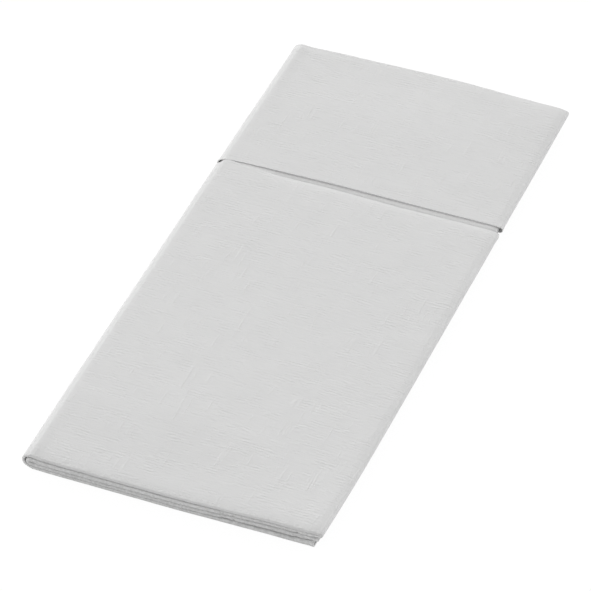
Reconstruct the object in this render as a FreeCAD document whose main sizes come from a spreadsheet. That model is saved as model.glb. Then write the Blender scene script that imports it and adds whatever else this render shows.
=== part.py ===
"""Cutlery pouch napkin: one sheet of soft linen-feel paper, folded flat into a pocket.

The sheet is first folded lengthwise: both ends turn onto the front face and stop a little short of each other,
so the long lower flap is a pocket whose mouth is where the two flaps face. It is then folded in half across its
width, flaps outwards, and in half again. That makes four layers, each of two plies (the back panel and a flap),
and every fold is round, the way thick soft paper bends.

Frame: +X across the folded napkin, +Y along it from the pocket's closed end towards its mouth, +Z up. The origin
is under the middle of the folded napkin, on the surface that it lies on. Sizes are in millimetres.
"""

import FreeCAD, Part
import Sketcher
import math
import os

from FreeCAD import Vector

NODE = "napkin"

doc = FreeCAD.newDocument("cutlery_pouch_napkin")

# ---------------------------------------------------------------------------------------------------------------
# Sizes
# ---------------------------------------------------------------------------------------------------------------

DRIVING = [
    ("open_width", "330", "sheet opened flat, across the pouch"),
    ("open_length", "400", "sheet opened flat, along the pouch"),
    ("ply", "0.54", "thickness of the embossed sheet"),
    ("ply_gap", "0.1", "air inside a layer, between the back panel and its flap"),
    ("layer_gap", "0.1", "air between two layers"),
    ("pocket_depth", "138.4", "closed end to the lower flap's cut edge"),
    ("mouth_gap", "2.1", "between the cut edges of the two flaps"),
    ("crescent", "0.6", "play between the two nested folds on the left"),
    ("third_edge_back", "1.2", "third layer's cut edge, behind the right-hand fold"),
    ("fourth_edge_back", "2.3", "bottom layer's cut edge, behind the right-hand fold"),
]

DERIVED = [
    ("layer", "=2 * ply + ply_gap", "one layer: two plies and their air"),
    ("stack", "=4 * layer + 3 * layer_gap", "height of the folded napkin"),
    ("end_bend", "=ply_gap / 2", "inner radius of an end fold"),
    ("end_arc", "=pi * (end_bend + ply / 2)", "paper used by an end fold"),
    ("fold_spacing", "=(open_length + mouth_gap) / 2 - end_arc", "between the axes of the two end folds"),
    ("far_fold_y", "=fold_spacing / 2", "axis of the far end fold"),
    ("pocket_run", "=pocket_depth - layer / 2", "flat stretch of the lower flap"),
    ("outer_bend", "=stack / 2 - layer", "inner radius of the outer left-hand fold"),
    ("inner_bend", "=layer + layer_gap / 2", "outer radius of the inner left-hand fold"),
    ("right_bend", "=layer_gap / 2", "inner radius of the right-hand fold"),
    ("left_arcs", "=pi * (outer_bend + inner_bend)", "paper used by the two left-hand folds"),
    ("right_arc", "=pi * (right_bend + ply / 2)", "paper used by the right-hand fold"),
    ("nose", "=layer + right_bend", "outer radius of the right-hand fold"),
    ("edges_back", "=third_edge_back + fourth_edge_back", "what the two cut edges give up"),
    ("flat_paper", "=open_width - left_arcs - right_arc", "paper left for the four flat stretches"),
    ("top_run", "=(flat_paper - 2 * nose + edges_back + 2 * crescent) / 4", "flat stretch of the top layer"),
    ("folded_width", "=stack / 2 + top_run + nose", "left-hand fold to right-hand fold"),
    ("right_fold_x", "=folded_width / 2 - nose", "axis of the right-hand fold"),
    ("third_edge_x", "=folded_width / 2 - third_edge_back", "third layer's cut edge"),
    ("fourth_edge_x", "=folded_width / 2 - fourth_edge_back", "bottom layer's cut edge"),
]


def fill_sheet():
    """One size a row: its name, its value under that name as alias, and what it is."""
    sheet = doc.addObject("Spreadsheet::Sheet", "Sizes")
    for row, (alias, value, meaning) in enumerate(DRIVING + DERIVED, start=1):
        sheet.set(f"A{row}", alias)
        sheet.set(f"B{row}", value)
        sheet.set(f"C{row}", meaning)
        sheet.setAlias(f"B{row}", alias)
    doc.recompute()
    return sheet


sizes = fill_sheet()


def size(alias):
    """A size as a number, for a sketch's first shape, which its constraints then hold to the sheet."""
    return float(getattr(sizes, alias))


# ---------------------------------------------------------------------------------------------------------------
# Sketch helpers
# ---------------------------------------------------------------------------------------------------------------

START, END, CENTRE = 1, 2, 3
ORIGIN = (-1, 1)
X_AXIS = -1
TO_THE_LEFT = (math.pi / 2, 3 * math.pi / 2)
TO_THE_RIGHT = (-math.pi / 2, math.pi / 2)


def new_sketch(body, name, plane):
    """Sketch on one of the body's own origin planes."""
    sketch = body.newObject("Sketcher::SketchObject", name)
    base = next(feature for feature in body.Origin.OriginFeatures if feature.Role == plane)
    sketch.AttachmentSupport = (base, "")
    sketch.MapMode = "FlatFace"
    return sketch


def add_run(sketch, start, end):
    """Flat stretch of paper, which stays level."""
    run = sketch.addGeometry(Part.LineSegment(Vector(*start, 0), Vector(*end, 0)), False)
    sketch.addConstraint(Sketcher.Constraint("Horizontal", run))
    return run


def add_cut(sketch, start, end):
    """Cut edge of the sheet, square to its faces."""
    cut = sketch.addGeometry(Part.LineSegment(Vector(*start, 0), Vector(*end, 0)), False)
    sketch.addConstraint(Sketcher.Constraint("Vertical", cut))
    return cut


def add_bend(sketch, centre, radius, side):
    """Half circle round a fold, which bulges to one side."""
    circle = Part.Circle(Vector(*centre, 0), Vector(0, 0, 1), radius)
    return sketch.addGeometry(Part.ArcOfCircle(circle, *side), False)


def flow(sketch, *ends):
    """Runs meet bends smoothly: each pair of ends is tangent where it touches."""
    for (first, first_end), (second, second_end) in zip(ends[::2], ends[1::2]):
        sketch.addConstraint(Sketcher.Constraint("Tangent", first, first_end, second, second_end))


def touch(sketch, *ends):
    """Pairs of ends, or of centres, that are one point."""
    for (first, first_end), (second, second_end) in zip(ends[::2], ends[1::2]):
        sketch.addConstraint(Sketcher.Constraint("Coincident", first, first_end, second, second_end))


def hold(sketch, alias, kind, *where):
    """Dimension that follows the sheet's size of the same name."""
    index = sketch.addConstraint(Sketcher.Constraint(kind, *where, size(alias)))
    sketch.setExpression(f"Constraints[{index}]", f"Sizes.{alias}")


# ---------------------------------------------------------------------------------------------------------------
# The folded sheet: its lengthwise section, swept along the way it is folded across its width
# ---------------------------------------------------------------------------------------------------------------


def draw_section(body):
    """Section along +Y of the bottom layer, at its cut edge: flaps below, the back panel above."""
    sketch = new_sketch(body, "FlapsAndBackPanel", "YZ_Plane")
    ply = size("ply")
    layer = size("layer")
    inner = size("end_bend")
    axis = layer / 2
    far = size("far_fold_y")
    near = -far
    lower = near + size("pocket_run")
    upper = lower + size("mouth_gap")

    back_outer = add_run(sketch, (near, layer), (far, layer))
    back_inner = add_run(sketch, (near, layer - ply), (far, layer - ply))
    upper_outer = add_run(sketch, (upper, 0), (far, 0))
    upper_inner = add_run(sketch, (upper, ply), (far, ply))
    lower_outer = add_run(sketch, (near, 0), (lower, 0))
    lower_inner = add_run(sketch, (near, ply), (lower, ply))
    upper_cut = add_cut(sketch, (upper, 0), (upper, ply))
    lower_cut = add_cut(sketch, (lower, 0), (lower, ply))
    far_outer = add_bend(sketch, (far, axis), axis, TO_THE_RIGHT)
    far_inner = add_bend(sketch, (far, axis), inner, TO_THE_RIGHT)
    near_outer = add_bend(sketch, (near, axis), axis, TO_THE_LEFT)
    near_inner = add_bend(sketch, (near, axis), inner, TO_THE_LEFT)

    flow(sketch, (upper_outer, END), (far_outer, START), (far_outer, END), (back_outer, END))
    flow(sketch, (upper_inner, END), (far_inner, START), (far_inner, END), (back_inner, END))
    flow(sketch, (back_outer, START), (near_outer, START), (near_outer, END), (lower_outer, START))
    flow(sketch, (back_inner, START), (near_inner, START), (near_inner, END), (lower_inner, START))
    touch(sketch, (upper_outer, START), (upper_cut, START), (upper_cut, END), (upper_inner, START))
    touch(sketch, (lower_outer, END), (lower_cut, START), (lower_cut, END), (lower_inner, END))
    touch(sketch, (far_outer, CENTRE), (far_inner, CENTRE), (near_outer, CENTRE), (near_inner, CENTRE))
    sketch.addConstraint(Sketcher.Constraint("PointOnObject", upper_outer, START, X_AXIS))
    sketch.addConstraint(Sketcher.Constraint("PointOnObject", lower_outer, END, X_AXIS))

    hold(sketch, "ply", "Distance", upper_cut)
    hold(sketch, "end_bend", "Radius", far_inner)
    hold(sketch, "far_fold_y", "DistanceX", *ORIGIN, far_outer, CENTRE)
    hold(sketch, "fold_spacing", "DistanceX", near_outer, CENTRE, far_outer, CENTRE)
    hold(sketch, "pocket_run", "DistanceX", near_outer, CENTRE, lower_outer, END)
    hold(sketch, "mouth_gap", "DistanceX", lower_outer, END, upper_outer, START)
    sketch.setExpression("AttachmentOffset.Base.z", "Sizes.fourth_edge_x")
    return sketch


def draw_route(body):
    """Way of the back panel's outer face across the napkin, from the bottom layer's cut edge to the third's."""
    sketch = new_sketch(body, "FoldsAcross", "XZ_Plane")
    layer = size("layer")
    middle = size("stack") / 2
    outer = size("outer_bend")
    inner = size("inner_bend")
    right = size("right_bend")
    right_x = size("right_fold_x")
    outer_x = right_x - size("top_run")
    inner_x = outer_x + size("crescent")
    top = middle + outer
    second = middle + inner
    third = middle - inner

    bottom_run = add_run(sketch, (size("fourth_edge_x"), layer), (outer_x, layer))
    outer_fold = add_bend(sketch, (outer_x, middle), outer, TO_THE_LEFT)
    top_run = add_run(sketch, (outer_x, top), (right_x, top))
    right_fold = add_bend(sketch, (right_x, top - right), right, TO_THE_RIGHT)
    second_run = add_run(sketch, (right_x, second), (inner_x, second))
    inner_fold = add_bend(sketch, (inner_x, middle), inner, TO_THE_LEFT)
    third_run = add_run(sketch, (inner_x, third), (size("third_edge_x"), third))

    flow(sketch, (bottom_run, END), (outer_fold, END), (outer_fold, START), (top_run, START))
    flow(sketch, (top_run, END), (right_fold, END), (right_fold, START), (second_run, START))
    flow(sketch, (second_run, END), (inner_fold, START), (inner_fold, END), (third_run, START))

    hold(sketch, "layer", "DistanceY", *ORIGIN, bottom_run, START)
    hold(sketch, "outer_bend", "Radius", outer_fold)
    hold(sketch, "inner_bend", "Radius", inner_fold)
    hold(sketch, "right_bend", "Radius", right_fold)
    hold(sketch, "top_run", "DistanceX", outer_fold, CENTRE, right_fold, CENTRE)
    hold(sketch, "crescent", "DistanceX", outer_fold, CENTRE, inner_fold, CENTRE)
    hold(sketch, "right_fold_x", "DistanceX", *ORIGIN, right_fold, CENTRE)
    hold(sketch, "third_edge_x", "DistanceX", *ORIGIN, third_run, END)
    hold(sketch, "fourth_edge_x", "DistanceX", *ORIGIN, bottom_run, START)
    return sketch


def fold_sheet():
    """The whole sheet as one body."""
    body = doc.addObject("PartDesign::Body", "Napkin")
    body.Label = NODE
    section = draw_section(body)
    route = draw_route(body)
    pipe = body.newObject("PartDesign::AdditivePipe", "FoldedSheet")
    pipe.Profile = section
    pipe.Spine = route
    body.Tip = pipe
    return body


napkin = fold_sheet()
doc.recompute()

# ---------------------------------------------------------------------------------------------------------------
# Check and export
# ---------------------------------------------------------------------------------------------------------------

for feature in doc.Objects:
    if {"Invalid", "Error"} & set(feature.State):
        raise RuntimeError(f"{feature.Label} failed: {feature.State}")

shape = napkin.Shape
if shape.isNull() or not shape.isValid() or len(shape.Solids) != 1:
    raise RuntimeError(f"{NODE} is not one valid solid")

sheet_volume = size("open_width") * size("open_length") * size("ply")
if abs(shape.Volume / sheet_volume - 1) > 0.01:
    raise RuntimeError(f"{NODE} does not use up its sheet: {shape.Volume:.0f} of {sheet_volume:.0f} mm3")

box = shape.optimalBoundingBox(True, False)
print(f"{NODE}: {box.XLength:.2f} x {box.YLength:.2f} x {box.ZLength:.2f} mm, {shape.Volume:.0f} mm3")

os.makedirs("parts", exist_ok=True)
shape.exportStep(f"parts/{NODE}.step")
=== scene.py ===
"""Cutlery pouch napkin: one sheet of embossed airlaid paper, folded into a flat pouch, on a pale floor."""

import math

import bpy
import numpy as np
from mathutils import Matrix, Vector


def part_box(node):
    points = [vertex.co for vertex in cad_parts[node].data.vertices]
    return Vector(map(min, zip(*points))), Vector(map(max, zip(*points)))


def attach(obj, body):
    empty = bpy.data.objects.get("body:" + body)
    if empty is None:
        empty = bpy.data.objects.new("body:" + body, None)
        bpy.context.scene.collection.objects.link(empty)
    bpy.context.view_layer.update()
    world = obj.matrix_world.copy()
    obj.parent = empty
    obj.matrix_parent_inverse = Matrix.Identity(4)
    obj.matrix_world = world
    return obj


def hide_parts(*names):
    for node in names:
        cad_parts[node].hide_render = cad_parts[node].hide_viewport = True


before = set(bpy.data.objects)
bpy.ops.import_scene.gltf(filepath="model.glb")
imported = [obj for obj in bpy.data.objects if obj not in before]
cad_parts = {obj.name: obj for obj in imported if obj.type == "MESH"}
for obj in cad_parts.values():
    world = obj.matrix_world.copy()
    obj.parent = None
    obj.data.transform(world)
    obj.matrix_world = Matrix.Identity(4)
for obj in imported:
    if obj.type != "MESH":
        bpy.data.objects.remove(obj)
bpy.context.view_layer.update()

# --------------------------------------------------------------------------------------------------------
# The folded sheet: one piece of airlaid paper, cut to 330 x 400 mm. Both ends are turned onto the front
# face and leave the pouch's mouth between them, then the strip is folded in half twice across its width.
# It is machine-folded and pressed, but it springs back: the rolls are soft and the near corner fans open.
# --------------------------------------------------------------------------------------------------------

MM = 0.001
OPEN_WIDTH, OPEN_LENGTH = 330, 400
POCKET_DEPTH, MOUTH_GAP = 138.4, 2.1
THIRD_EDGE_BACK, BOTTOM_EDGE_BACK = 1.2, 2.3
PLY, PLY_AIR, LAYER_AIR = 0.54, 0.04, 0.04
PRESSED = 0.72
LAYER = 2 * PLY + PLY_AIR
PRESSED_LAYER = 2 * PRESSED * PLY + PLY_AIR
OUTER_REACH, INNER_REACH, NOSE_REACH = 1.84, LAYER + 0.33, 0.05

(left, near, _), (right, far, top) = (np.array(corner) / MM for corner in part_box("napkin"))
ROLL_X = left + OUTER_REACH + PRESSED_LAYER
NOSE_X = right - PRESSED_LAYER - NOSE_REACH


def ease(value, start, end):
    """0 up to start and 1 from end on, with a smooth S between: 3 x squared minus 2 x cubed."""
    x = np.clip((value - start) / (end - start), 0, 1)
    return x * x * (3 - 2 * x)


def hump(value, centre, spread):
    """Bell curve of height 1: e to the minus half the squared distance in spreads."""
    return np.exp(-0.5 * ((value - centre) / spread) ** 2)


def through(value, places, heights):
    """Smooth curve through points: a cubic between each two, with the slopes of their neighbours' lines."""
    places, heights = np.array(places, float), np.array(heights, float)
    slopes = np.gradient(heights, places)
    k = np.clip(np.searchsorted(places, value) - 1, 0, len(places) - 2)
    step = places[k + 1] - places[k]
    x = np.clip((value - places[k]) / step, 0, 1)
    rise = heights[k] + (heights[k + 1] - heights[k]) * x * x * (3 - 2 * x)
    return rise + step * x * (1 - x) * (slopes[k] * (1 - x) - slopes[k + 1] * x)


def uneven(place, lengths, phase):
    """Unevenness between -1 and 1: the mean of one sine for each wavelength, with phases far apart."""
    angles = [2 * math.pi * place / length + phase * (k + 1) ** 2 for k, length in enumerate(lengths)]
    return sum(np.sin(angle) for angle in angles) / len(lengths)


def steps(*marks):
    """Places in a row: marks are a place, how many equal steps lead to the next, that place, and so on."""
    return np.concatenate([
        np.linspace(a, b, n, endpoint=False) for a, n, b in zip(marks[::2], marks[1::2], marks[2::2])
    ])


def direction(u, v):
    """Unit direction of lines of points, from the differences between neighbours along the last axis."""
    du, dv = np.gradient(u, axis=-1), np.gradient(v, axis=-1)
    length = np.hypot(du, dv)
    return du / length, dv / length


def curl_up(x):
    """How far the bottom layer's plies spring apart towards its cut edge: two easy steps up."""
    return 0.34 * ease(x, 33, 38.5) + 0.36 * ease(x, 37, 40.5)


def layer_levels(x):
    """Heights of the back panel's outer face in the bottom, third, second and top layers, at places across.

    Each layer adds its thickness and some air. The air below the third and second layers grows towards the
    right, and the third rises over the bottom layer's curl. The inner roll leaves a small eye.
    """
    bottom = LAYER + curl_up(x)
    third = LAYER + LAYER_AIR + 0.13 * ease(x, -5, 33) + 0.6 * ease(x, 34, 40)
    eye = 0.34 * hump(x, ROLL_X, 1.3)
    second = LAYER + LAYER_AIR + 2 * LAYER + LAYER_AIR + eye + 0.6 * ease(x, -5, 34) + 0.1 * ease(x, 34, 38)
    first = second + LAYER_AIR + 0.03 * ease(x, 0, 40)
    return bottom, third, second, first


def way_across():
    """Way of the back panel's outer face in the XZ plane, from the bottom layer's cut edge to the third's.

    Seven stretches follow each other: bottom layer, outer roll, top layer, nose on the right, second layer,
    inner roll and third layer. A flat one keeps to its layer's level, with more points where it bends. A
    fold goes half round: its reach times the sine sideways, and half a cosine upwards. The stage is the
    stretch's number, from 0, and the share of it that is done.
    """

    def flat(level, *marks):
        x = steps(*marks)
        return x, layer_levels(x)[level]

    def fold(x, reach, start, end, count):
        turn = np.linspace(0, math.pi, count, endpoint=False)
        levels = layer_levels(np.array(x))
        rise = (levels[end] - levels[start]) * (1 - np.cos(turn)) / 2
        return x + reach * np.sin(turn), levels[start] + rise

    bottom_edge, third_edge = right - BOTTOM_EDGE_BACK, right - THIRD_EDGE_BACK
    stretches = [
        flat(0, bottom_edge, 3, bottom_edge - 0.4, 8, 33, 16, ROLL_X),
        fold(ROLL_X, -OUTER_REACH, 0, 3, 28),
        flat(3, ROLL_X, 10, -33, 40, 13, 10, 18, 14, 34, 5, 36, 9, NOSE_X),
        fold(NOSE_X, NOSE_REACH, 3, 2, 14),
        flat(2, NOSE_X, 9, 36, 5, 34, 14, 18, 14, 13, 36, -33, 8, ROLL_X),
        fold(ROLL_X, -INNER_REACH, 2, 1, 16),
        flat(1, ROLL_X, 8, -33, 20, 13, 8, 18, 10, 33,
             12, third_edge - 0.4, 3, third_edge, 1, third_edge + 0.01),
    ]
    x = np.concatenate([s[0] for s in stretches])
    z = np.concatenate([s[1] for s in stretches])
    shares = [np.linspace(0, 1, len(s[0]), endpoint=False) for s in stretches]
    return x, z, np.concatenate([k + share for k, share in enumerate(shares)])


def layer_ends(x, stage, across, near_inset, far_inset):
    """Places along the pouch of each row's near and far folds: the box's ends, less an inset, and bowed.

    The bows are smooth curves through a few points across. At the near end the second and third layers
    stick out on the left and draw back on the right, where four creases cross them, the nose's corner draws
    back and the bottom layer's sticks out. Both ends are a little uneven.
    """
    ahead = np.interp(stage, (1, 2, 3, 4, 5, 6), (0, 0.02, 0.02, 0.32, 0.32, 0.1))
    ahead = ahead - np.interp(stage, (2.9, 4.1), (0.02, 0.56)) * ease(x, 0, 30) * (stage > 1.5)
    ahead = ahead + 0.15 * ease(x, 38.5, 40) * (stage < 1)
    ahead = ahead - 0.4 * ease(x, 38, right) * (np.abs(stage - 3.5) < 1.5)
    creases = 0.4 * sum(hump(x, place, 0.35) for place in (14.4, 15.7, 17.3, 35.2)) * ease(stage, 2.9, 4)
    near_bow = through(x, (-42, -33, -25, -16, -8, 4, 12, 20, 29, 37, 41),
                       (-0.1, 0.05, 0.14, 0.22, 0.28, 0.32, 0.24, 0.14, 0.05, 0.15, 0.28))
    far_bow = through(x, (-42, -37, -32, -28, -19, -9, 0, 10, 19, 29, 37, 42),
                      (-0.7, -0.45, -0.2, 0.04, 0.22, 0.52, 0.75, 0.4, -0.17, -0.74, -1.1, -1.45))
    near_rough = 0.06 * uneven(across, (5.3, 8.9, 17, 31), 1.7)
    far_rough = 0.06 * uneven(across, (6.1, 10.3, 19, 37), 2.9)
    near_end = near + near_inset - near_bow - ahead + creases + near_rough
    return near_end, far - far_inset + far_bow - far_rough


def mouth_edges(x, on_roll):
    """Places along the pouch of the lower and upper flaps' cut edges: smooth curves through a few points.

    The edges meet at the left, part quickly and then run side by side. On the outer roll they draw back.
    """
    lower = through(x, (-39.6, -38, -37, -36, -34.5, -32.5, -30, -27, -20, -11, 0, 7, 25, 42),
                    (39.02, 38.98, 38.93, 38.7, 38.2, 37.9, 37.82,
                     37.75, 37.65, 37.75, 37.5, 37.27, 37.4, 37.7))
    upper = through(x, (-42, -38.5, -36, -30, -24, -17, -8, 0, 8, 20, 34, 42),
                    (39.13, 39.02, 39.25, 39.33, 39.5, 39.65, 39.75, 39.7, 39.63, 39.62, 39.78, 39.9))
    return lower - 1.4 * on_roll, upper - 0.2 * on_roll


def sheet_middle(x, stage, across):
    """Middle surface of the paper: places along the pouch, heights, thicknesses, and what is back panel.

    Height is counted from the back panel's outer face. The lower flap runs from its mouth edge to the closed
    end, a half circle turns it under, the back panel runs the whole length, and a half circle brings up the
    upper flap, which ends at its own mouth edge. The plies lie one ply and a hair apart. They spring apart
    in the third layer, at the bottom layer's cut edge and towards the top layer's far end.

    Near ends and cut edges are pressed thin: the loss fades with e to the minus the distance in reaches. A
    cut edge loses its underside, but the lower flap's loses its upper side where the mouth is open. In the
    mouth the back panel swells up between the two edges.
    """
    # How much of each row is top layer, outer roll or nose, and how far its plies spring apart.
    top_layer = ease(stage, 1.35, 2) * (1 - ease(stage, 3, 3.5))
    roll = ease(stage, 0.95, 1.15) * (1 - ease(stage, 1.85, 2.04))
    nose = ease(stage, 2.97, 3) * (1 - ease(stage, 4, 4.1))
    ply = PLY * (1 - (1 - PRESSED) * (roll + nose))
    loose = 0.1 * top_layer
    spring = 0.28 * ease(x, -5, 33) * (1 - ease(x, 35, 39.5)) + 0.08 * ease(x, 35, 40)
    air = PLY_AIR + curl_up(x) * (stage < 1) + spring * (stage > 6)
    tip_thin = 0.06 + 0.19 * top_layer * (1 - 0.25 * ease(x, 5, 30))
    half_near = ((1 - tip_thin) * ply + air) / 2
    half_far = (ply + air + loose) / 2
    near_end, far_end = layer_ends(x, stage, across, ply / 2 + half_near, ply / 2 + half_far)

    # The mouth: where its edges lie, and how far they are pressed thin and the back panel swells up.
    roll_place, nose_place = np.interp((1.79, 3.45), stage[:, 0], across[:, 0])
    on_roll, on_nose = hump(across, roll_place, 0.68), hump(across, nose_place, 0.5)
    lower_edge, upper_edge = mouth_edges(x, on_roll)
    flush = 1 - ease(x, -31, -20)
    shallow = flush * ease(x, -39, -37)
    cut_thin = 0.46 * (1 - 0.85 * ease(-x, 37, 39) * (1 - on_roll)) + 0.32 * shallow
    swell = (0.23 + 0.17 * shallow) * ease(x, -39, -37) * (stage > 1)

    # Places along: columns crowd at the mouth and folds, and keep their shares of a stretch in all rows.
    from_edge = steps(0, 1, 0.06, 1, 0.15, 1, 0.35, 1, 0.8, 1, 1.6, 1, 2.8, 1, 4.2, 1, 6, 2, 10)
    lower_share = np.concatenate([from_edge, steps(10, 24, 106, 10, 138)]) / 138
    back_share = steps(0, 18, 134.5, 4, 137.5, 15, 141.5, 3, 146, 8, 200) / 200
    upper_share = np.append(steps(0, 14, 50), 60 - np.append(from_edge, 10)[:0:-1]) / 60
    turn = np.linspace(0, math.pi, 12, endpoint=False)
    lower_y = lower_edge + (near_end - lower_edge) * lower_share
    near_y = near_end - half_near * np.sin(turn)
    back_y = near_end + (far_end - near_end) * back_share
    far_y = far_end + half_far * np.sin(turn)
    upper_y = far_end + (upper_edge - far_end) * upper_share

    # Losses of thickness and gains of height, which fade away from the ends and edges, and then the heights.
    press_reach, lift_reach, gap_reach = 1.3, 2.2, 1.5

    def at_tip(y):
        return tip_thin * np.exp(-(y - near_end) / press_reach)

    lower_cut = cut_thin * np.exp(-(lower_edge - lower_y) / press_reach)
    upper_cut = cut_thin * np.exp(-(upper_y - upper_edge) / press_reach)
    lift = (0.15 * on_roll + 0.2 * on_nose) * np.exp(-(upper_y - upper_edge) / lift_reach)
    open_far = loose * ease(upper_y, 72, 97)
    swelling = swell * ease(back_y - lower_edge, 0.25 - 1.5 * shallow, 1 - 0.9 * shallow)
    swelling = swelling * (1 - ease(back_y - upper_edge, -0.2, 1.5))

    lower_h = (1.5 * (1 - at_tip(lower_y)) + (flush - 0.5) * lower_cut) * ply + air
    near_h = ply / 2 * (1 - tip_thin) + half_near * (1 + np.cos(turn))
    back_h = ply / 2 * (1 - at_tip(back_y)) + swelling
    far_h = ply / 2 + half_far * (1 - np.cos(turn))
    upper_h = (1.5 + 0.5 * upper_cut) * ply + air + open_far + lift
    y = np.concatenate([lower_y, near_y, back_y, far_y, upper_y], axis=1)
    height = np.concatenate([lower_h, near_h, back_h, far_h, upper_h], axis=1)
    gap = 0.08 * top_layer * np.exp(-np.abs(y - near_end) / gap_reach)

    losses = [lower_cut + at_tip(lower_y), tip_thin + 0 * near_y, at_tip(back_y), 0 * far_y, upper_cut]
    thickness = ply * (1 - np.concatenate(losses, axis=1))
    parts = (lower_y, near_y, back_y, far_y, upper_y)
    is_back = np.concatenate([np.full(part.shape[1], part is back_y) for part in parts])
    return y, height + gap, thickness, is_back


def open_places(y, height):
    """How far along the open sheet each point lies, in mm, from the lower flap's cut edge.

    The paper's length is kept, and each row is shifted so that a thread keeps one place in all rows of a
    flap. The two flaps' shifts differ, and the back panel passes evenly from the first to the second.
    """
    lengths = np.hypot(np.diff(y), np.diff(height))
    along = np.concatenate([np.zeros((len(y), 1)), np.cumsum(lengths, axis=1)], axis=1)
    from_lower = near + POCKET_DEPTH - y[:, :1] + along
    from_upper = near + POCKET_DEPTH + MOUTH_GAP - y[:, -1:] + OPEN_LENGTH - along[:, -1:] + along
    share = np.clip((from_lower - POCKET_DEPTH) / (2 * far), 0, 1)
    return from_lower + (from_upper - from_lower) * share


EDGE_TURNS = np.radians([45, 90, 135])
EDGE_ROUNDING = 0.02


def both_faces(y, height, thickness, is_back):
    """Section of the paper as a closed loop: outer face, rounded cut edge, inner face, other cut edge.

    Each face is the middle moved half the thickness along its normal. A cut edge is half an ellipse. What is
    back panel, and the places on the open sheet, go round the loop in the same order.
    """
    ty, th = direction(y, height)

    def cut_edge(end, way, turns):
        out, over = way * EDGE_ROUNDING * np.sin(turns), thickness[:, end, None] / 2 * np.cos(turns)
        u = y[:, end, None] + ty[:, end, None] * out + th[:, end, None] * over
        return u, height[:, end, None] + th[:, end, None] * out - ty[:, end, None] * over

    last, first = cut_edge(-1, 1, EDGE_TURNS), cut_edge(0, -1, EDGE_TURNS[::-1])
    outer = y + th * thickness / 2, height - ty * thickness / 2
    inner = (y - th * thickness / 2)[:, ::-1], (height + ty * thickness / 2)[:, ::-1]
    loop_y, loop_height = (np.concatenate(parts, axis=1) for parts in zip(outer, last, inner, first))
    neither = np.zeros(len(EDGE_TURNS), bool)
    place, edge = open_places(y, height), np.zeros((len(y), len(EDGE_TURNS)))
    places = np.concatenate([place, edge + place[:, -1:], place[:, ::-1], edge + place[:, :1]], axis=1)
    return loop_y, loop_height, np.concatenate([is_back, neither, is_back[::-1], neither]), places


def make_sheet():
    """Mesh of the folded sheet: rows follow the way across, and columns go round the paper's section.

    A point is the way's point, moved by its height along the way's normal, then bent with the whole stack:
    away from its ends the stack is pressed to an even height, and its sides bow and are pinched at the mouth.
    """
    x, z, stage = way_across()
    across = np.concatenate([[0], np.cumsum(np.hypot(np.diff(x), np.diff(z)))])
    tx, tz = direction(x, z)
    x, z, stage, across, tx, tz = (row_values[:, None] for row_values in (x, z, stage, across, tx, tz))
    Y, height, is_back, places = both_faces(*sheet_middle(x, stage, across))
    X = x - tz * height
    Z = z + tx * height

    pinch = ease(Y, 36, 37.6) * (1 - ease(Y, 40.2, 42)) * is_back
    X = X - pinch * (0.8 * ease(X, 38.4, right) - 0.35 * ease(-X, 38.4, -left) * (stage < 2.5))
    left_bow = through(Y, (-100, -92, -80, 0, 60, 80, 100), (-0.1, -0.12, -0.05, 0.03, 0.1, -0.04, 0))
    right_bow = through(Y, (-100, -90, -80, -70, -60, 0, 40, 100),
                        (-0.52, -0.28, -0.12, -0.02, 0.02, 0.05, 0.03, 0.02))
    X = X + right_bow * ease(X, 10, right) - left_bow * ease(-X, 10, -left)
    X = X + 0.6 * (1 - np.clip(Z / top, 0, 1)) ** 1.5 * ease(-X, 33, 40.5)
    X = X + 0.18 * hump(Y, 36.3, 1.0) * ease(X, 38.4, right)

    stack = layer_levels(np.clip(X, ROLL_X, NOSE_X - 3))[3] + LAYER
    crown = 0.35 * (1 - (X / 40) ** 2)
    middle = ease(100 - np.abs(Y), 2, 30)
    waves = uneven(X + 0.35 * Y, (41, 27), 0.7) * uneven(Y - 0.2 * X, (57, 33, 23), 2.1)
    Z = Z * (1 + ((top + crown) / stack - 1) * middle + 0.02 * waves)
    points = np.stack([X, Y, Z], axis=-1) * MM

    rows, columns = X.shape
    index = np.arange(rows * columns).reshape(rows, columns)
    beside = np.roll(index, -1, axis=1)
    quads = np.stack([index[:-1], beside[:-1], beside[1:], index[1:]], axis=-1).reshape(-1, 4)

    # The first and last rows are the strip's own cut sides: quads from face to face close them, out to the
    # rounded edges. Point n, on the outer face, lies across from point 2 half + 2 - n, on the inner face.
    half = columns // 2 - len(EDGE_TURNS)
    ring = np.arange(-2, half + 2) % columns
    mate = (2 * half + 2 - ring) % columns
    cut_sides = []
    for row, order in ((0, -1), (rows - 1, 1)):
        strip = np.stack([ring[:-1], ring[1:], mate[1:], mate[:-1]], axis=-1)[:, ::order] + row * columns
        cut_sides += [list(dict.fromkeys(face)) for face in strip.tolist()]
    mesh = bpy.data.meshes.new("folded_sheet")
    mesh.from_pydata(points.reshape(-1, 3), [], quads.tolist() + cut_sides)

    flat_places = np.stack(np.broadcast_arrays(across / across[-1] * OPEN_WIDTH, places), axis=-1)
    corners = np.empty(len(mesh.loops), int)
    mesh.loops.foreach_get("vertex_index", corners)
    open_sheet = mesh.uv_layers.new(name="open_sheet")
    open_sheet.uv.foreach_set("vector", (flat_places.reshape(-1, 2)[corners] * MM).astype(np.float32).ravel())
    return mesh


sheet_mesh = make_sheet()
sheet_mesh.shade_smooth()
sheet_mesh.set_sharp_from_angle(angle=math.radians(60))
napkin = bpy.data.objects.new("folded_sheet", sheet_mesh)
bpy.context.collection.objects.link(napkin)
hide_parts("napkin")
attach(napkin, "root")

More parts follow.
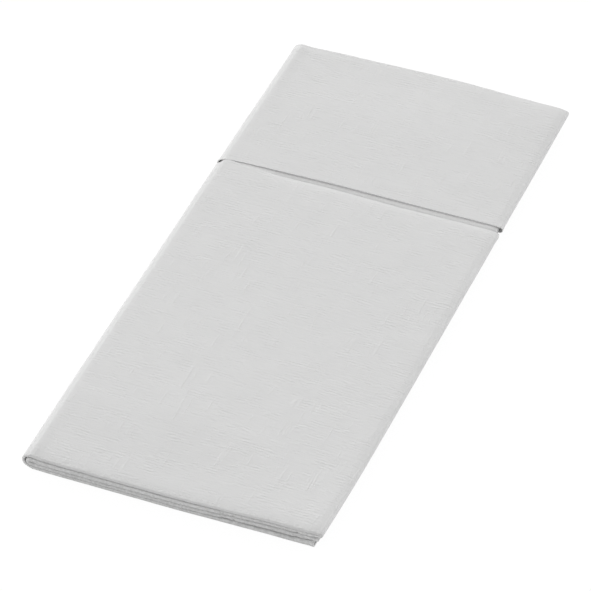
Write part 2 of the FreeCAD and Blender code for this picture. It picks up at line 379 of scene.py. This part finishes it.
# The paper: white airlaid tissue, bonded without lacquer and pressed between linen-patterned rollers. The
# threads run along both of the sheet's sides, so the relief is laid out on the open sheet and turns with it
# at every fold. At the folded ends the pattern is pressed flatter, and the fibres fray. Light and shade are
# also painted into the colour: slubs are painted lighter, and the frayed ends get mottles of painted shade.


class Value:
    """Output of a shader node. Arithmetic on it adds Math nodes behind it, so that it reads as a formula."""

    def __init__(self, socket):
        self.socket = socket

    def math(self, operation, *numbers):
        settings = {"operation": operation}
        return add_node(self.socket.id_data, "ShaderNodeMath", settings, dict(enumerate(numbers)))["Value"]

    def sine(self):
        return self.math("SINE", self)

    def __abs__(self):
        return self.math("ABSOLUTE", self)

    def __add__(self, other):
        return self.math("ADD", self, other)

    def __radd__(self, other):
        return self.math("ADD", other, self)

    def __sub__(self, other):
        return self.math("SUBTRACT", self, other)

    def __rsub__(self, other):
        return self.math("SUBTRACT", other, self)

    def __mul__(self, other):
        return self.math("MULTIPLY", self, other)

    def __rmul__(self, other):
        return self.math("MULTIPLY", other, self)

    def __truediv__(self, other):
        return self.math("DIVIDE", self, other)

    def __pow__(self, other):
        return self.math("POWER", self, other)


def add_node(tree, kind, settings, inputs):
    """Add a node, set its settings, then give its inputs numbers, colours or other nodes' outputs."""
    node = tree.nodes.new(kind)
    for name, setting in settings.items():
        setattr(node, name, setting)
    for name, value in inputs.items():
        if isinstance(value, Value):
            tree.links.new(value.socket, node.inputs[name])
        else:
            node.inputs[name].default_value = value
    return {output.name: Value(output) for output in node.outputs if output.enabled}


def between(value, start, end):
    """0 before start, 1 beyond end and a smooth S between. The start may be the higher of the two."""
    smooth = {"interpolation_type": "SMOOTHSTEP"}
    inputs = {"Value": value, "From Min": start, "From Max": end}
    return add_node(value.socket.id_data, "ShaderNodeMapRange", smooth, inputs)["Result"]


material = bpy.data.materials.new("paper")
material.use_nodes = True
paper = material.node_tree
paper.nodes.clear()


def noise(x, y, detail, seed):
    """Noise around 0.5 at a place on the open sheet. Both of its numbers are divided by a spot's size."""
    place = add_node(paper, "ShaderNodeCombineXYZ", {}, {"X": x, "Y": y, "Z": seed})["Vector"]
    inputs = {"Vector": place, "Scale": 1.0, "Detail": detail, "Roughness": 0.55}
    return add_node(paper, "ShaderNodeTexNoise", {}, inputs)["Fac"]


open_place = add_node(paper, "ShaderNodeUVMap", {"uv_map": "open_sheet"}, {})["UV"]
sides = add_node(paper, "ShaderNodeSeparateXYZ", {}, {"Vector": open_place})
u = sides["X"] / MM
v = sides["Y"] / MM

NEAR_FOLD, FAR_FOLD = POCKET_DEPTH, 339.4
TOP_LAYER_MIDDLE, TOP_LAYER_HALF = 124, 38
from_near_fold, from_far_fold = abs(v - NEAR_FOLD), abs(v - FAR_FOLD)
off_the_folds = between(from_near_fold, 0.8, 2.2) * between(from_far_fold, 0.8, 2.2)
off_the_ends = between(from_near_fold, 0.45, 0.95) * between(from_far_fold, 0.45, 0.95)
below_top = 0.15 + 0.85 * between(abs(u - TOP_LAYER_MIDDLE), TOP_LAYER_HALF, TOP_LAYER_HALF + 4)

# Patterns: ribs, dashes and streaks run across the strip, and slubs along it.
RIB_PITCH = 1.05
ribs = (v * (2 * math.pi / RIB_PITCH) + 9 * noise(u / 14, v / 9, 1, 3.1)).sine()
ribbed = between(noise(u / 6, v / 3, 2, 11.7), 0.44, 0.62)
dashes = noise(u / 2, v / 0.7, 2, 17.9) - 0.5
streaked = between(noise(u / 30, v / 4, 1, 65.1), 0.5, 0.62)
streaks = (noise(u / 22, v / 0.9, 1, 5.3) - 0.5) * streaked
slubbed = between(noise(u / 4, v / 9, 1, 47.3), 0.5, 0.62)
slubs_and_highlight = between(noise(u / 0.62, v / 14, 0, 23.9), 0.55, 0.85) * slubbed
dents = noise(u / 3.5, v / 4.5, 2, 31.3) - 0.5
fibres = noise(u / 0.35, v / 0.35, 3, 41.9) - 0.5
frayed_and_shade = noise(u / 0.7, v / 0.7, 2, 71.3) - 0.5

# Heights in mm: each pattern has its depth before it.
relief = 0.0125 * ribs * ribbed + 0.12 * dashes * (0.4 + ribbed) + 0.057 * streaks
relief = relief + 0.07 * slubs_and_highlight + 0.057 * dents + 0.02 * fibres
relief = relief * (0.45 + 0.55 * off_the_folds) + 0.25 * frayed_and_shade * (1 - off_the_folds)
normal = add_node(paper, "ShaderNodeBump", {}, {"Height": relief, "Distance": MM, "Strength": 1.0})["Normal"]

# The colour mixes the paper's own cloudy density with painted light. A painted highlight makes the slubs
# lighter. Below the top layer, near the folded ends, light and dark mottles of painted shade stand in for the
# shading of the frayed fibres' fuzz. The thin and dense tones are the ends that this painted light reaches.
THIN_PAPER_AND_SHADE, DENSE_PAPER_AND_HIGHLIGHT = (0.645, 0.645, 0.643, 1), (0.765, 0.765, 0.763, 1)
cloudy = noise(u / 6, v / 5, 4, 57.1)
density_and_painted_light = 0.333 + (cloudy + 0.5 * slubs_and_highlight) / 3 + 3.4 * frayed_and_shade * (1 - off_the_ends) * below_top
tones = {0: density_and_painted_light, 6: THIN_PAPER_AND_SHADE, 7: DENSE_PAPER_AND_HIGHLIGHT}
surface = {
    "Base Color": add_node(paper, "ShaderNodeMix", {"data_type": "RGBA"}, tones)["Result"],
    "Roughness": 0.88 + 0.1 * fibres,
    "Specular IOR Level": 0.2,
    "Normal": normal,
}
shader = add_node(paper, "ShaderNodeBsdfPrincipled", {}, surface)["BSDF"]
add_node(paper, "ShaderNodeOutputMaterial", {}, {"Surface": shader})
sheet_mesh.materials.append(material)

# --------------------------------------------------------------------------------------------------------
# The floor: a wide sheet of matt white board under the napkin. Seen directly it is blown out to white, and
# only the napkin's own contact shadow stays faintly on it. It throws a board's plain light at the paper.
# --------------------------------------------------------------------------------------------------------

HALF_SIDE = 3.0
CORNERS = np.array(((-1, -1, 0), (1, -1, 0), (1, 1, 0), (-1, 1, 0))) * HALF_SIDE

floor_mesh = bpy.data.meshes.new("floor")
floor_mesh.from_pydata(CORNERS, [], [(0, 1, 2, 3)])
floor = bpy.data.objects.new("floor", floor_mesh)
bpy.context.collection.objects.link(floor)

board_material = bpy.data.materials.new("floor_board")
board_material.use_nodes = True
board = board_material.node_tree
board.nodes.clear()


def seen_directly(tree):
    """1 for rays from the eye, also by way of gloss or glass, and 0 for rays that only carry light."""
    rays = add_node(tree, "ShaderNodeLightPath", {}, {})
    return rays["Is Camera Ray"] + rays["Is Glossy Ray"] + rays["Is Transmission Ray"]


WHITE = (1, 1, 1, 1)
BOARD, SEEN_BOARD = (0.85, 0.85, 0.85, 1), (0.075, 0.075, 0.075, 1)
plain = add_node(board, "ShaderNodeBsdfDiffuse", {}, {"Color": BOARD})["BSDF"]
shaded = add_node(board, "ShaderNodeBsdfDiffuse", {}, {"Color": SEEN_BOARD})["BSDF"]
glow = add_node(board, "ShaderNodeEmission", {}, {"Color": WHITE, "Strength": 0.95})["Emission"]
blown_out = add_node(board, "ShaderNodeAddShader", {}, {0: glow, 1: shaded})["Shader"]
faces = {0: seen_directly(board), 1: plain, 2: blown_out}
either_face = add_node(board, "ShaderNodeMixShader", {}, faces)["Shader"]
add_node(board, "ShaderNodeOutputMaterial", {}, {"Surface": either_face})
floor_mesh.materials.append(board_material)

# --------------------------------------------------------------------------------------------------------
# The light: a pale studio with even light from all round, and a wide bank of soft light low behind the far
# left. Its raking light brings out the embossing, and the near and right-hand sides get only the studio's.
# --------------------------------------------------------------------------------------------------------

STUDIO, BANK = 0.6, 2.86
BANK_AZIMUTH, BANK_TOP, BANK_FULL = map(math.radians, (335, 37, 27))
BANK_FALLOFF = 1.5

world = bpy.data.worlds.new("studio")
bpy.context.scene.world = world
world.use_nodes = True
studio = world.node_tree
studio.nodes.clear()

looking = add_node(studio, "ShaderNodeTexCoord", {}, {})["Generated"]
way = add_node(studio, "ShaderNodeSeparateXYZ", {}, {"Vector": looking})
aside, ahead, above = way["X"], way["Y"], way["Z"]
facing = (aside * math.sin(BANK_AZIMUTH) + ahead * math.cos(BANK_AZIMUTH)) / (1 - above * above) ** 0.5
lowness = between(above, math.sin(BANK_TOP), math.sin(BANK_FULL))
strength = STUDIO + BANK * lowness * ((1 + facing) / 2) ** BANK_FALLOFF

lit = add_node(studio, "ShaderNodeBackground", {}, {"Color": WHITE, "Strength": strength})["Background"]
blank = add_node(studio, "ShaderNodeBackground", {}, {"Color": WHITE, "Strength": 1.0})["Background"]
skies = {0: seen_directly(studio), 1: lit, 2: blank}
either_sky = add_node(studio, "ShaderNodeMixShader", {}, skies)["Shader"]
add_node(studio, "ShaderNodeOutputWorld", {}, {"Surface": either_sky})

# --------------------------------------------------------------------------------------------------------
# The camera: a long lens, so that the folded sheet's sides stay almost parallel, looking down from the near
# right. The middle of the napkin's underside lies a little to the right of the lens's axis and above it.
# --------------------------------------------------------------------------------------------------------

AZIMUTH, ELEVATION, ROLL = map(math.radians, (-19.289, 38.327, 2.446))
SENSOR_WIDTH, FOCAL_LENGTH = 36, 298.47715
MIDDLE = Vector((3.414, 2.441, 1340.6)) * MM

level_look = math.cos(ELEVATION)
forward = Vector((math.sin(AZIMUTH) * level_look, math.cos(AZIMUTH) * level_look, -math.sin(ELEVATION)))
level_side = Vector((math.cos(AZIMUTH), -math.sin(AZIMUTH), 0))
steep = level_side.cross(forward)
sideways = level_side * math.cos(ROLL) + steep * math.sin(ROLL)
upward = steep * math.cos(ROLL) - level_side * math.sin(ROLL)

camera_data = bpy.data.cameras.new("camera")
camera_data.sensor_width = SENSOR_WIDTH
camera_data.lens = FOCAL_LENGTH
camera_data.clip_start = 0.01
camera_data.clip_end = 50
camera = bpy.data.objects.new("camera", camera_data)
bpy.context.collection.objects.link(camera)
camera_place = Matrix((sideways, upward, -forward)).transposed().to_4x4()
camera_place.translation = -MIDDLE.x * sideways - MIDDLE.y * upward - MIDDLE.z * forward
camera.matrix_world = camera_place
bpy.context.scene.camera = camera
bpy.context.scene.view_settings.view_transform = "Standard"
